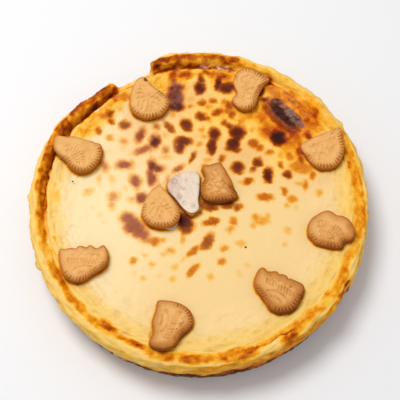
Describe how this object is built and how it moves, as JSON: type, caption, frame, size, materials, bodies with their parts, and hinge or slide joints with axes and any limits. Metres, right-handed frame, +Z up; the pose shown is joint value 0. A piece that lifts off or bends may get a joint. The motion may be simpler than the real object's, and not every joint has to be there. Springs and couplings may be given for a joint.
{
  "type": "cheesecake",
  "caption": "Round baked cheesecake on a thin crumb base, its browned rim broken away at the back, with stamped biscuits laid round the edge and in the middle.",
  "frame": {"origin": "centre of the crumb base's flat underside", "axes": "+Z up, +Y towards the broken place in the rim, +X to the right of someone who looks along +Y"},
  "size_m": [0.26, 0.2592, 0.053],
  "materials": {
    "custard": "baked cream filling, glossy in the middle, with brown spots and a browned rim",
    "crumb": "pressed biscuit crumb, rough",
    "shortbread": "baked biscuit, dry and fine-grained, darker at the edges",
    "white_icing": "set white coating, smooth with small bubbles"
  },
  "bodies": {
    "root": {"crumb_base": "crumb", "filling": "custard", "biscuit_back_left": "shortbread", "biscuit_left_upper": "shortbread", "biscuit_back_right": "shortbread", "biscuit_right_upper": "shortbread", "biscuit_right": "shortbread", "biscuit_front_right": "shortbread", "biscuit_front": "shortbread", "biscuit_left_lower": "shortbread", "biscuit_centre_left": "shortbread", "biscuit_centre_right": "shortbread", "biscuit_turned_over": "shortbread", "coating_centre_left": "white_icing", "coating_turned_over": "white_icing"}
  },
  "joints": []
}
